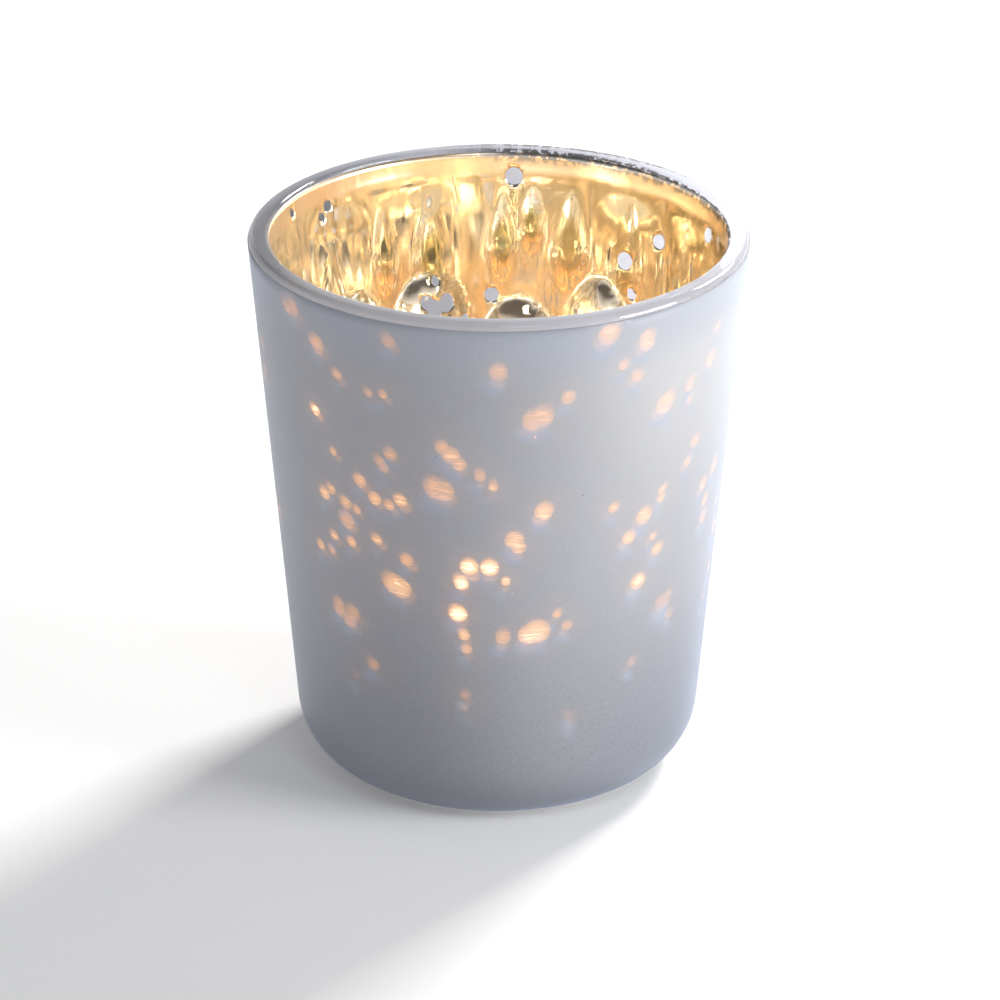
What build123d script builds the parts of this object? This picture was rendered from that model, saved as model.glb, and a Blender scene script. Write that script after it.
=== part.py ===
"""Tealight holder: a tapered glass tumbler with a frosted outer coat and a
speckled gold mirror lining, and the tealight that stands loose inside it.

Units are millimetres. The origin is the centre of the base and +Z is up.
Angles are in degrees around the axis: 0 is the front (-Y), 90 the right (+X).
"""
from build123d import *
import math
import os
import random

# Tumbler
height = 80.0
rim_radius = 35.0
base_radius = 28.0  # the outer wall line carried down to the resting plane
rim_wall = 2.7
floor_wall = 3.2
floor_thickness = 6.0
outer_bottom_round = 9.3
inner_bottom_round = 5.0
rim_outer_round = 0.9
rim_inner_round = 0.5

# Layers on the glass
coat_thickness = 0.15
coat_bottom = 0.5  # the bare foot of the glass stands below this
coat_top = height - 1.0
lining_thickness = 0.15
lining_top = height - 0.5

# Tealight
cup_radius = 19.0
cup_height = 15.5
cup_wall = 0.3
cup_bottom_round = 1.0
cup_bead_radius = 0.45
wax_height = 12.2
melt_pool_radius = 16.0
melt_pool_depth = 1.1
sustainer_radius = 6.2
sustainer_thickness = 0.3
neck_radius = 1.35
neck_height = 4.0
wick_radius = 0.8
wick_straight = 13.5
wick_bend_radius = 5.0
wick_bend_angle = 38.0

# Gaps in the lining. Clusters: centre angle, centre height, half width (degrees), half height, gaps
speckle_seed = 11
speckle_clusters = [
    (-53, 73, 4, 3, 3),
    (-42, 68, 4, 2, 3),
    (-28, 65, 3, 1.5, 2),
    (-41, 56, 3, 2, 2),
    (-29, 55, 3, 2, 3),
    (-46, 50, 3, 2, 2),
    (-50, 38, 4, 3, 2),
    (-3, 54, 2, 1.5, 2),
    (-9, 31, 2, 1.5, 3),
    (3, 33, 2, 1.5, 2),
    (17, 34, 3, 1.5, 2),
    (-43, 33, 4, 3, 4),
    (-33, 26, 3, 2, 3),
    (-42, 23, 4, 2, 2),
    (-11, 22, 3, 1.5, 2),
    (37, 71, 3, 1.5, 2),
    (32, 68, 3, 1.5, 3),
    (50, 62, 4, 2, 3),
    (62, 67, 4, 3, 3),
    (52, 53, 4, 1.5, 2),
    (42, 48, 4, 1.5, 3),
    (43, 41, 3, 2, 2),
    (47, 31, 5, 3, 5),
    (63, 45, 5, 4, 4),
    (76, 36, 7, 8, 5),
    (-80, 62, 6, 6, 4),
    (-84, 34, 8, 7, 6),
    (102, 56, 7, 8, 6),
    (112, 30, 9, 7, 7),
    (139, 60, 1, 2, 2),
    (138, 42, 10, 6, 9),
    (165, 29, 10, 6, 8),
    (172, 44, 12, 5, 8),
    (-163, 61, 3, 1.5, 2),
    (-158, 46, 7, 4, 6),
    (-152, 35, 9, 6, 8),
    (-128, 75, 2, 1.5, 2),
    (-122, 50, 10, 8, 11),
    (-125, 26, 9, 5, 5),
    (-102, 44, 6, 6, 5),
]
gap_radii = [0.45, 0.6, 0.8, 1.05]
gap_shares = [20, 34, 28, 12]
# Gaps that stand alone or overlap into one larger gap: angle, height, radius
single_gaps = [
    (-25, 73, 0.8),
    (-48, 60, 0.6),
    (0, 70, 1.05),
    (16, 66, 0.8),
    (8, 63, 1.3),
    (10, 63.5, 1.3),
    (-13, 59, 0.8),
    (-11, 58, 1.05),
    (-9, 56.8, 0.8),
    (-15, 53, 1.3),
    (-13, 52.7, 1.3),
    (11, 50, 1.05),
    (4, 46, 1.05),
    (5, 45, 0.8),
    (-35, 52, 0.8),
    (-31, 50, 0.8),
    (-24, 50.5, 0.8),
    (-27, 49.5, 0.6),
    (-40, 48, 0.8),
    (-36.5, 47.5, 0.45),
    (-40, 45.5, 1.05),
    (-45, 42.5, 0.6),
    (-39, 42.5, 0.6),
    (-31, 44, 0.6),
    (-23, 42, 0.8),
    (-7, 42, 1.05),
    (-2, 42, 1.05),
    (-9, 39.5, 0.8),
    (2, 40, 0.45),
    (-27, 38, 1.3),
    (-25, 37.6, 1.3),
    (-10, 35, 1.05),
    (8, 32, 1.3),
    (10, 32.4, 1.6),
    (20, 19, 0.8),
    (25, 74, 1.3),
    (42, 62, 1.3),
    (43, 62.6, 1.05),
    (29, 49, 0.6),
    (34, 44, 0.8),
    (38, 37, 1.05),
    (38, 25, 0.6),
    (110, 75, 1.05),
    (132, 70, 1.05),
    (142, 66, 1.3),
    (159, 54, 1.05),
    (176, 76, 1.3),
    (-178, 58, 1.05),
    (-170, 55, 0.6),
    (-164, 58, 1.3),
    (-160, 57.5, 1.3),
    (-158, 58.4, 1.05),
    (-152, 56, 0.8),
    (-113, 77.5, 0.6),
]
gap_cutter_length = 4.0
gap_margin = 0.15  # two gaps overlap or stand apart by at least this
seam_angle = 90.0  # the turned surface closes here, so no gap crosses it

# Sizes worked out from the ones above
slope = (rim_radius - base_radius) / height
floor_inner_radius = base_radius + slope * floor_thickness - floor_wall
rim_inner_radius = rim_radius - rim_wall
inner_slope = (rim_inner_radius - floor_inner_radius) / (height - floor_thickness)
stand_z = floor_thickness + lining_thickness  # the tealight stands here
cup_floor_z = stand_z + cup_wall
wax_top_z = cup_floor_z + wax_height


def inner_radius(z):
    """Radius of the inside of the glass at height z."""
    return floor_inner_radius + inner_slope * (z - floor_thickness)


def across(thickness, wall_slope):
    """Level width of a layer of this thickness that lies on a wall of this slope."""
    return thickness * math.hypot(1.0, wall_slope)


def outer_outline(grown):
    """Outside of the tumbler as a filled half section, grown by a distance."""
    shift = across(grown, slope)
    foot = (base_radius - slope * grown + shift, -grown)
    top = (rim_radius + shift, height)
    FilletPolyline((0, -grown), foot, top, radius=outer_bottom_round + grown)
    Polyline(top, (0, height), (0, -grown))


def fits_in(gap, others):
    """Whether a gap clearly overlaps or clearly misses every other gap and the seam."""
    angle, z, radius = gap
    arc = math.radians(1) * inner_radius(z)
    if abs(angle - seam_angle) * arc < radius + gap_margin:
        return False
    for other_angle, other_z, other_radius in others:
        turn = (angle - other_angle + 180) % 360 - 180
        distance = math.hypot(turn * arc, z - other_z)
        if abs(distance - radius - other_radius) < gap_margin:
            return False
        if distance < abs(radius - other_radius) + gap_margin:
            return False
    return True


def speckle_gaps():
    """Angle, height and radius of every gap in the lining."""
    draw = random.Random(speckle_seed)
    gaps = list(single_gaps)
    for angle, z, half_width, half_height, count in speckle_clusters:
        for _ in range(count):
            gap_angle = angle + half_width * draw.uniform(-1, 1)
            gap_z = z + half_height * draw.uniform(-1, 1)
            radius = draw.choices(gap_radii, gap_shares)[0]
            gap = (gap_angle, gap_z, radius)
            if fits_in(gap, gaps):
                gaps.append(gap)
    return gaps


def wall_plane(angle, z):
    """Plane on the inside of the glass, facing away from the axis."""
    turn = math.radians(angle)
    outward = Vector(math.sin(turn), -math.cos(turn), 0)
    origin = outward * inner_radius(z) + Vector(0, 0, z)
    return Plane(origin=origin, z_dir=outward)


# Glass tumbler
with BuildPart() as glass_tumbler:
    with BuildSketch(Plane.XZ):
        with BuildLine():
            FilletPolyline(
                (0, 0),
                (base_radius, 0),
                (rim_radius, height),
                (rim_inner_radius, height),
                (floor_inner_radius, floor_thickness),
                (0, floor_thickness),
                radius=[outer_bottom_round, rim_outer_round, rim_inner_round, inner_bottom_round],
            )
            Line((0, floor_thickness), (0, 0))
        make_face()
    revolve(axis=Axis.Z)

# Frosted coat: a skin on the outside, from just above the foot to just below the rim
with BuildPart() as frosted_coat:
    with BuildSketch(Plane.XZ):
        with BuildLine():
            outer_outline(coat_thickness)
        make_face()
        with BuildLine():
            outer_outline(0)
        make_face(mode=Mode.SUBTRACT)
        with Locations((rim_radius / 2, (coat_bottom + coat_top) / 2)):
            Rectangle(2 * rim_radius, coat_top - coat_bottom, mode=Mode.INTERSECT)
    revolve(axis=Axis.Z)

# Gold lining: a skin on the floor and the wall inside, with round gaps in the wall
with BuildPart() as gold_lining:
    with BuildSketch(Plane.XZ):
        with BuildLine():
            level_width = across(lining_thickness, inner_slope)
            back_radius = inner_radius(lining_top)
            front_radius = back_radius - level_width
            FilletPolyline(
                (0, floor_thickness),
                (floor_inner_radius, floor_thickness),
                (back_radius, lining_top),
                radius=inner_bottom_round,
            )
            FilletPolyline(
                (0, stand_z),
                (inner_radius(stand_z) - level_width, stand_z),
                (front_radius, lining_top),
                radius=inner_bottom_round - lining_thickness,
            )
            Line((0, floor_thickness), (0, stand_z))
            Line((back_radius, lining_top), (front_radius, lining_top))
        make_face()
    revolve(axis=Axis.Z)
    all_gaps = speckle_gaps()
    for size in sorted({radius for _, _, radius in all_gaps}):
        places = [wall_plane(angle, z) for angle, z, radius in all_gaps if radius == size]
        with Locations(*places):
            Cylinder(radius=size, height=gap_cutter_length, mode=Mode.SUBTRACT)

# Tealight cup: thin pressed aluminium with a rolled bead round its mouth
with BuildPart() as tealight_cup:
    cup_inside = cup_radius - cup_wall
    mouth_z = stand_z + cup_height
    with BuildSketch(Plane.XZ):
        with BuildLine():
            FilletPolyline(
                (0, stand_z),
                (cup_radius, stand_z),
                (cup_radius, mouth_z - cup_bead_radius),
                radius=cup_bottom_round,
            )
            FilletPolyline(
                (0, cup_floor_z),
                (cup_inside, cup_floor_z),
                (cup_inside, mouth_z - cup_bead_radius),
                radius=cup_bottom_round - cup_wall,
            )
            Line((0, stand_z), (0, cup_floor_z))
            Line((cup_inside, mouth_z - cup_bead_radius), (cup_radius, mouth_z - cup_bead_radius))
        make_face()
        with Locations((cup_inside + cup_bead_radius, mouth_z - cup_bead_radius)):
            Circle(cup_bead_radius)
    revolve(axis=Axis.Z)

# Wick sustainer: a thin disc on the cup's floor with a crimped neck round the wick
with BuildPart() as wick_sustainer:
    with BuildSketch(Plane.XY.offset(cup_floor_z)):
        Circle(sustainer_radius)
        Circle(wick_radius, mode=Mode.SUBTRACT)
    extrude(amount=sustainer_thickness)
    with BuildSketch(Plane.XY.offset(cup_floor_z + sustainer_thickness)):
        Circle(neck_radius)
        Circle(wick_radius, mode=Mode.SUBTRACT)
    extrude(amount=neck_height)

# Wick: upright through the wax, its burning end bent over
with BuildPart() as wick:
    with BuildLine(Plane.XZ):
        upright = Line((0, cup_floor_z), (0, cup_floor_z + wick_straight))
        JernArc(
            start=upright @ 1,
            tangent=(0, 1),
            radius=wick_bend_radius,
            arc_size=-wick_bend_angle,
        )
    with BuildSketch(Plane.XY.offset(cup_floor_z)):
        Circle(wick_radius)
    sweep()

# Wax: fills the cup round the sustainer and the wick, with a shallow melt pool on top
with BuildPart() as wax:
    wax_edge = cup_radius - cup_wall
    with BuildSketch(Plane.XZ):
        with BuildLine():
            FilletPolyline(
                (0, cup_floor_z),
                (wax_edge, cup_floor_z),
                (wax_edge, wax_top_z),
                radius=cup_bottom_round - cup_wall,
            )
            Line((wax_edge, wax_top_z), (melt_pool_radius, wax_top_z))
            Spline(
                (melt_pool_radius, wax_top_z),
                (0, wax_top_z - melt_pool_depth),
                tangents=[(-1, -0.6), (-1, 0)],
            )
            Line((0, wax_top_z - melt_pool_depth), (0, cup_floor_z))
        make_face()
    revolve(axis=Axis.Z)
    with BuildSketch(Plane.XY.offset(cup_floor_z)):
        Circle(sustainer_radius)
    extrude(amount=sustainer_thickness, mode=Mode.SUBTRACT)
    with BuildSketch(Plane.XY.offset(cup_floor_z)):
        Circle(neck_radius)
    extrude(amount=sustainer_thickness + neck_height, mode=Mode.SUBTRACT)
    with BuildSketch(Plane.XY.offset(cup_floor_z)):
        Circle(wick_radius)
    extrude(amount=wick_straight, mode=Mode.SUBTRACT)

# Write one file for each piece
pieces = {
    "glass_tumbler": glass_tumbler,
    "frosted_coat": frosted_coat,
    "gold_lining": gold_lining,
    "tealight_cup": tealight_cup,
    "wick_sustainer": wick_sustainer,
    "wick": wick,
    "wax": wax,
}
os.makedirs("parts", exist_ok=True)
for name, piece in pieces.items():
    piece.part.label = name
    export_step(piece.part, f"parts/{name}.step")
print("gaps:", len(all_gaps))
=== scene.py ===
import math
import random

import bmesh
import bpy
import numpy as np
from mathutils import Matrix, Vector
from mathutils.geometry import delaunay_2d_cdt


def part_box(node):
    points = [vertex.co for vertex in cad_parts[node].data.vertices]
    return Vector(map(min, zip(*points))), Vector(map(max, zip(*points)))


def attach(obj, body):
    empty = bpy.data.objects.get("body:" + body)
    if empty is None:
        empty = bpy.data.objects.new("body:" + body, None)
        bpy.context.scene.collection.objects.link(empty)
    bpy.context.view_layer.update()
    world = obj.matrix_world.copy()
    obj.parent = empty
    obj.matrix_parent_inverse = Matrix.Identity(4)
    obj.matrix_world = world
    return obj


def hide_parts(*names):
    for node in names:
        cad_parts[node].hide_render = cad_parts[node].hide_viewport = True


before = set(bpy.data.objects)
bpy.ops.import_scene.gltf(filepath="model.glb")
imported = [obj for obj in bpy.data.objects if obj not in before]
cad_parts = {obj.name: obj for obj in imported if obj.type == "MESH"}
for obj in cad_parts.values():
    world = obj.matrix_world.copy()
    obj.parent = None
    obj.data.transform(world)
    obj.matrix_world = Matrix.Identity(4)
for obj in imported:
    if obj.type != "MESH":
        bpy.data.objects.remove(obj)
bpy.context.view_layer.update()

MM = 0.001
BOTTOM_ROUNDING = 12 * MM  # below this the walls bend in to the foot and the floor
TURN = 2 * math.pi

_, GLASS_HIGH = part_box("glass_tumbler")
LINING_LOW, LINING_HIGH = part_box("gold_lining")
CUP_LOW, CUP_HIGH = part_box("tealight_cup")
_, WAX_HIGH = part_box("wax")
_, WICK_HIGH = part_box("wick")
HEIGHT = GLASS_HIGH.z
RIM_RADIUS = GLASS_HIGH.x
FLAME_HEIGHT = 25 * MM
FLAME_RADIUS = 4.2 * MM
FLAME_START = WICK_HIGH.z - 3.5 * MM
LIGHT_CENTRE = FLAME_START + 0.45 * FLAME_HEIGHT  # where the candle's light comes from


# ---------------------------------------------------------------- reading the frame

WELD = 1e-7  # points closer than this are one point
# How far a face has to look outward or inward to count as part of a wall
BOTTOM_LOOK = 0.02
WALL_LOOK = 0.25
LINING_LOOK = 0.7  # the lining's own wall, against the sides of its gaps
GAP_SIDE_LOOK = 0.3
LEAST_GAP_POINTS = 6
SEAM_STEPS = 1440


def welded(node):
    """A CAD node's mesh with its coincident points joined."""
    mesh = bmesh.new()
    mesh.from_mesh(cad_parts[node].data)
    bmesh.ops.remove_doubles(mesh, verts=mesh.verts, dist=WELD)
    mesh.normal_update()
    return mesh


def outwardness(face):
    """How far a face looks away from the axis: 1 is straight out, -1 straight in."""
    centre = face.calc_center_median()
    return face.normal.dot(Vector((centre.x, centre.y, 0)).normalized())


def wall_path(mesh, side):
    """Radius and height along the outside (side 1) or inside (side -1) of a turned node."""
    points = set()
    for face in mesh.faces:
        on_bottom = face.calc_center_median().z < BOTTOM_ROUNDING
        if side * outwardness(face) > (BOTTOM_LOOK if on_bottom else WALL_LOOK):
            for vert in face.verts:
                radius = math.hypot(vert.co.x, vert.co.y)
                points.add((round(vert.co.z, 6), round(radius, 6)))
    heights = {}
    for z, radius in points:
        heights.setdefault(z, []).append(radius)
    path = [(sum(radii) / len(radii), z) for z, radii in sorted(heights.items())]
    return np.array(path)


def gap_loops(mesh, low, high):
    """The edge of each gap in the lining as a loop of (angle, height) points."""
    onward = {}
    for edge in mesh.edges:
        kinds = [outwardness(face) for face in edge.link_faces]
        middle = (edge.verts[0].co.z + edge.verts[1].co.z) / 2
        if low < middle < high and min(kinds) < -LINING_LOOK and abs(max(kinds)) < GAP_SIDE_LOOK:
            first, second = edge.verts
            onward.setdefault(first, []).append(second)
            onward.setdefault(second, []).append(first)
    loops = []
    left = set(onward)
    for start in list(onward):
        if start not in left:
            continue
        loop = [start]
        left.discard(start)
        step = next((v for v in onward[start] if v in left), None)
        while step is not None:
            loop.append(step)
            left.discard(step)
            step = next((v for v in onward[step] if v in left), None)
        if len(loop) >= LEAST_GAP_POINTS:
            loops.append(np.array([(math.atan2(v.co.x, -v.co.y), v.co.z) for v in loop]))
    return loops


def lengths_along(path):
    """How far along a path each of its points is."""
    return np.concatenate([[0], np.cumsum(np.linalg.norm(np.diff(path, axis=0), axis=1))])


def wrapped(angle):
    """An angle brought into the half turn on each side of 0."""
    return (angle + math.pi) % TURN - math.pi


def clear_angle(loops):
    """The angle whose upright line stays furthest from every gap."""
    angles = np.linspace(-math.pi, math.pi, SEAM_STEPS, endpoint=False)
    nearest = np.full(len(angles), np.inf)
    for loop in loops:
        distance = np.abs(wrapped(angles[:, None] - loop[:, 0]))
        nearest = np.minimum(nearest, distance.min(1))
        middle = loop[0, 0] + wrapped(loop[:, 0] - loop[0, 0]).mean()
        half = np.abs(wrapped(loop[:, 0] - middle)).max()
        nearest[np.abs(wrapped(angles - middle)) < half] = 0
    return float(angles[nearest.argmax()])


# ---------------------------------------------------------------- plane and mesh helpers

TINY = 1e-12  # keeps divisions away from zero
PLANE_WELD = 1e-6
SEAM_WELD = 5e-7


def distance_inside(points, loop):
    """How deep each point is inside a closed loop; negative outside."""
    ahead = np.roll(loop, -1, axis=0)
    along = ahead - loop
    offset = points[:, None] - loop
    length2 = np.maximum((along ** 2).sum(-1), TINY)
    share = np.clip((offset * along).sum(-1) / length2, 0, 1)
    distance = np.linalg.norm(offset - share[..., None] * along, axis=-1).min(1)
    x, y = points[:, :1], points[:, 1:]
    spans = (loop[:, 1] > y) != (ahead[:, 1] > y)
    rise = np.where(along[:, 1] == 0, TINY, along[:, 1])
    crossed = spans & (x < loop[:, 0] + (y - loop[:, 1]) * along[:, 0] / rise)
    return np.where(crossed.sum(1) % 2 == 1, distance, -distance)


def smooth(value, low, high):
    """0 below low, 1 above high, and an even curve between."""
    share = np.clip((value - low) / (high - low), 0, 1)
    return share * share * (3 - 2 * share)


def triangulate(points, holes):
    """Triangles over plane points with nothing inside the holes: places, faces, source points."""
    verts = [Vector(p) for p in points]
    faces = []
    for hole in holes:
        x, y = hole[:, 0], hole[:, 1]
        area = (x * np.roll(y, -1) - np.roll(x, -1) * y).sum()
        ordered = hole if area > 0 else hole[::-1]
        faces.append(list(range(len(verts), len(verts) + len(hole))))
        verts.extend(Vector(p) for p in ordered)
    places, _, triangles, origins, _, owners = delaunay_2d_cdt(verts, [], faces, 0, PLANE_WELD, True)
    kept = [tuple(t) for t, owner in zip(triangles, owners) if not owner]
    used = sorted({i for t in kept for i in t})
    number = {old: new for new, old in enumerate(used)}
    sources = np.array([(origins[i] or [-1])[0] for i in used])
    numbered = np.array([[number[i] for i in t] for t in kept])
    return np.array([places[i] for i in used]), numbered, sources


def new_piece(name, points, faces, material, body="holder", smooth_faces=None):
    """A mesh piece that rides on a body; only its first smooth_faces faces are smooth, or all."""
    mesh = bpy.data.meshes.new(name)
    mesh.from_pydata([tuple(p) for p in points], [], [tuple(int(i) for i in f) for f in faces])
    rounded = len(faces) if smooth_faces is None else smooth_faces
    mesh.polygons.foreach_set("use_smooth", [i < rounded for i in range(len(faces))])
    mesh.materials.append(material)
    mesh.update()
    piece = bpy.data.objects.new(name, mesh)
    bpy.context.scene.collection.objects.link(piece)
    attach(piece, body)
    return piece


def face_materials(piece, materials, numbers):
    """Adds materials to a piece and gives each face its material's number."""
    for material in materials:
        piece.data.materials.append(material)
    piece.data.polygons.foreach_set("material_index", numbers)


def point_values(piece, name, values):
    """Stores a value at each point; points past the end of the list get 0."""
    padded = np.zeros(len(piece.data.vertices), np.float32)
    padded[:len(values)] = values
    piece.data.attributes.new(name, "FLOAT", "POINT").data.foreach_set("value", padded)


def open_edges(faces):
    """Directed edges that only one face uses."""
    directed = {}
    for face in faces:
        for a, b in zip(face, np.roll(face, -1)):
            directed[(int(a), int(b))] = True
    return [(a, b) for a, b in directed if (b, a) not in directed]


def skin(front, faces, back):
    """Closes a sheet into a thin solid; its faces are the front's, the back's, then the strips."""
    count = len(front)
    points = np.vstack([front, back])
    flipped = [tuple(count + i for i in reversed(face)) for face in faces.tolist()]
    strips = [(b, a, count + a, count + b) for a, b in open_edges(faces)]
    return points, [tuple(f) for f in faces.tolist()] + flipped + strips


def turned(radius, angle, height):
    """Points at these radii, angles from the front and heights."""
    return np.stack([radius * np.sin(angle), -radius * np.cos(angle), height], -1)


def join_seam(points, faces):
    """Joins the two edges of an unrolled sheet where they meet, and drops doubled points."""
    keys = np.round(points / SEAM_WELD).astype(np.int64)
    _, first, number = np.unique(keys, axis=0, return_index=True, return_inverse=True)
    number = number.ravel()
    joined = number[faces]
    whole = (joined != np.roll(joined, 1, axis=1)).all(axis=1)
    return first, joined[whole]


# ---------------------------------------------------------------- material helpers

class Nodes:
    """A short way to write a material's nodes."""

    def __init__(self, name):
        self.material = bpy.data.materials.new(name)
        self.material.use_nodes = True
        self.tree = self.material.node_tree
        self.shader = self.tree.nodes["Principled BSDF"]
        self.output = self.tree.nodes["Material Output"]
        self.place = self.tree.nodes.new("ShaderNodeTexCoord").outputs["Object"]

    def add(self, kind, inputs=None, **settings):
        node = self.tree.nodes.new(kind)
        for key, value in settings.items():
            setattr(node, key, value)
        for key, value in (inputs or {}).items():
            self.feed(node.inputs[key], value)
        return node

    def feed(self, socket, value):
        if isinstance(value, bpy.types.NodeSocket):
            self.tree.links.new(value, socket)
        else:
            socket.default_value = value

    def set(self, **values):
        for key, value in values.items():
            self.feed(self.shader.inputs[key.replace("_", " ")], value)

    def noise(self, scale, detail=2.0, rough=0.5, at=None, distort=0.0):
        inputs = {"Scale": scale, "Detail": detail, "Roughness": rough, "Distortion": distort}
        node = self.add("ShaderNodeTexNoise", {**inputs, "Vector": at or self.place})
        return node.outputs["Fac"]

    def cells(self, scale):
        inputs = {"Vector": self.place, "Scale": scale, "Randomness": 1.0}
        return self.add("ShaderNodeTexVoronoi", inputs).outputs["Distance"]

    def stretched(self, x, y, z):
        node = self.add("ShaderNodeMapping", {"Vector": self.place, "Scale": (x, y, z)})
        return node.outputs["Vector"]

    def ramp(self, value, *stops):
        node = self.add("ShaderNodeValToRGB", {"Fac": value})
        marks = node.color_ramp.elements
        while len(marks) < len(stops):
            marks.new(0.5)
        for mark, (place, colour) in zip(marks, stops):
            mark.position = place
            mark.color = (*colour, 1) if len(colour) == 3 else colour
        return node.outputs["Color"]

    def span(self, value, low, high, to_low=0.0, to_high=1.0, soft=True):
        inputs = {"Value": value, "From Min": low, "From Max": high, "To Min": to_low, "To Max": to_high}
        shape = "SMOOTHSTEP" if soft else "LINEAR"
        return self.add("ShaderNodeMapRange", inputs, interpolation_type=shape).outputs["Result"]

    def maths(self, operation, a, b=0.0):
        node = self.add("ShaderNodeMath", {0: a, 1: b}, operation=operation)
        return node.outputs["Value"]

    def mix(self, share, a, b):
        node = self.add("ShaderNodeMix", data_type="RGBA")
        for socket, value in ((node.inputs["Factor"], share), (node.inputs[6], a), (node.inputs[7], b)):
            self.feed(socket, value if not isinstance(value, tuple) else (*value, 1))
        return node.outputs[2]

    def axis(self, letter):
        return self.add("ShaderNodeSeparateXYZ", {"Vector": self.place}).outputs[letter]

    def mark(self, name):
        return self.add("ShaderNodeAttribute", attribute_name=name).outputs["Fac"]

    def bump(self, value, strength, distance):
        inputs = {"Height": value, "Strength": strength, "Distance": distance}
        self.set(Normal=self.add("ShaderNodeBump", inputs).outputs["Normal"])


def rgb(*channels):
    return tuple(channels)


# ---------------------------------------------------------------- camera, light and floor

# The view: 20 rim radii from the middle of the glass, looking down at it
VIEW_ELEVATION = 24.4
VIEW_DISTANCE = 20 * 35 * MM
VIEW_ROLL = 0.17
FIELD_RATIO = 4.9  # focal length over frame width
AIM_RIGHT = 0.002  # the frame's centre stands this share of its width beside the glass's axis
AIM_DOWN = 0.0095
SENSOR_MM = 36.0


def make_camera():
    data = bpy.data.cameras.new("camera")
    data.sensor_width = SENSOR_MM
    data.lens = FIELD_RATIO * SENSOR_MM
    data.shift_x = AIM_RIGHT
    data.shift_y = -AIM_DOWN
    data.clip_start = 0.01
    camera = bpy.data.objects.new("camera", data)
    bpy.context.scene.collection.objects.link(camera)
    tilt = math.radians(VIEW_ELEVATION)
    middle = Vector((0, 0, HEIGHT / 2))
    back = Vector((0, -math.cos(tilt), math.sin(tilt)))
    camera.location = middle + back * VIEW_DISTANCE
    facing = back.to_track_quat("Z", "Y").to_matrix()
    roll = Matrix.Rotation(math.radians(VIEW_ROLL), 3, "Z")
    camera.rotation_euler = (facing @ roll).to_euler()
    bpy.context.scene.camera = camera


def soft_light(name, angle, elevation, distance, size, power, colour):
    """A square soft light that looks at the glass from an angle round it and an elevation."""
    data = bpy.data.lights.new(name, "AREA")
    data.size = size
    data.energy = power
    data.color = colour
    light = bpy.data.objects.new(name, data)
    bpy.context.scene.collection.objects.link(light)
    around, up = math.radians(angle), math.radians(elevation)
    toward = Vector((math.sin(around) * math.cos(up), -math.cos(around) * math.cos(up), math.sin(up)))
    light.location = Vector((0, 0, HEIGHT / 2)) + toward * distance
    light.rotation_euler = toward.to_track_quat("Z", "Y").to_euler()
    light.visible_camera = False


SKY_STRENGTH = 1.5
PALE_SKY = (0.83, 0.84, 0.87, 1)
DARK_SKY = (0.05, 0.053, 0.06, 1)  # overhead, so that the light comes from low down all round


def make_world():
    """Pale surroundings, darker overhead; seen directly they are plain white."""
    world = bpy.data.worlds.new("studio")
    bpy.context.scene.world = world
    world.use_nodes = True
    nodes, links = world.node_tree.nodes, world.node_tree.links
    background = nodes["Background"]
    place = nodes.new("ShaderNodeTexCoord")
    split = nodes.new("ShaderNodeSeparateXYZ")
    ramp = nodes.new("ShaderNodeValToRGB")
    links.new(place.outputs["Generated"], split.inputs["Vector"])
    links.new(split.outputs["Z"], ramp.inputs["Fac"])
    links.new(ramp.outputs["Color"], background.inputs["Color"])
    marks = ramp.color_ramp.elements
    marks[0].position, marks[0].color = 0.0, PALE_SKY
    marks[1].position, marks[1].color = 0.62, DARK_SKY
    marks.new(0.32).color = PALE_SKY
    background.inputs["Strength"].default_value = SKY_STRENGTH
    plain = nodes.new("ShaderNodeBackground")
    plain.inputs["Color"].default_value = (1.0, 1.0, 1.0, 1)
    path = nodes.new("ShaderNodeLightPath")
    chosen = nodes.new("ShaderNodeMixShader")
    links.new(path.outputs["Is Camera Ray"], chosen.inputs[0])
    links.new(background.outputs[0], chosen.inputs[1])
    links.new(plain.outputs[0], chosen.inputs[2])
    links.new(chosen.outputs[0], nodes["World Output"].inputs["Surface"])


FLOOR_FADE_START = 0.24  # the floor turns into the plain pale surroundings between these distances
FLOOR_FADE_END = 0.9
FLOOR_FILL = 0.07  # keeps the shadows pale
FLOOR_HALF = 8.0


def make_floor():
    paper = Nodes("floor_paper")
    grain = paper.noise(900, 3)
    tone = paper.mix(grain, rgb(0.880, 0.868, 0.852), rgb(0.915, 0.903, 0.887))
    paper.set(Roughness=0.75)
    paper.set(Specular_IOR_Level=0.2)
    away = paper.add("ShaderNodeVectorMath", {0: paper.place}, operation="LENGTH").outputs["Value"]
    far = paper.span(away, FLOOR_FADE_START, FLOOR_FADE_END)
    paper.set(Base_Color=paper.mix(far, tone, rgb(0, 0, 0)), Emission_Color=rgb(1, 1, 1, 1))
    paper.set(Emission_Strength=paper.span(far, 0, 1, FLOOR_FILL, 1.0, soft=False))
    half = FLOOR_HALF
    mesh = bpy.data.meshes.new("floor")
    corners = [(-half, -half, 0), (half, -half, 0), (half, half, 0), (-half, half, 0)]
    mesh.from_pydata(corners, [], [(0, 1, 2, 3)])
    mesh.materials.append(paper.material)
    floor = bpy.data.objects.new("floor", mesh)
    bpy.context.scene.collection.objects.link(floor)


make_camera()
make_world()
make_floor()
soft_light("window", 70, 14, 1.0, 0.5, 10.5, rgb(0.97, 0.985, 1.0))
soft_light("back_window", 143, 35.5, 1.2, 0.32, 16.5, rgb(1.0, 0.99, 0.97))
soft_light("front_window", 14, 52, 1.0, 0.26, 0.75, rgb(0.86, 0.93, 1.0))
bpy.context.scene.view_settings.view_transform = "Standard"


# ---------------------------------------------------------------- the frosted coat

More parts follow.
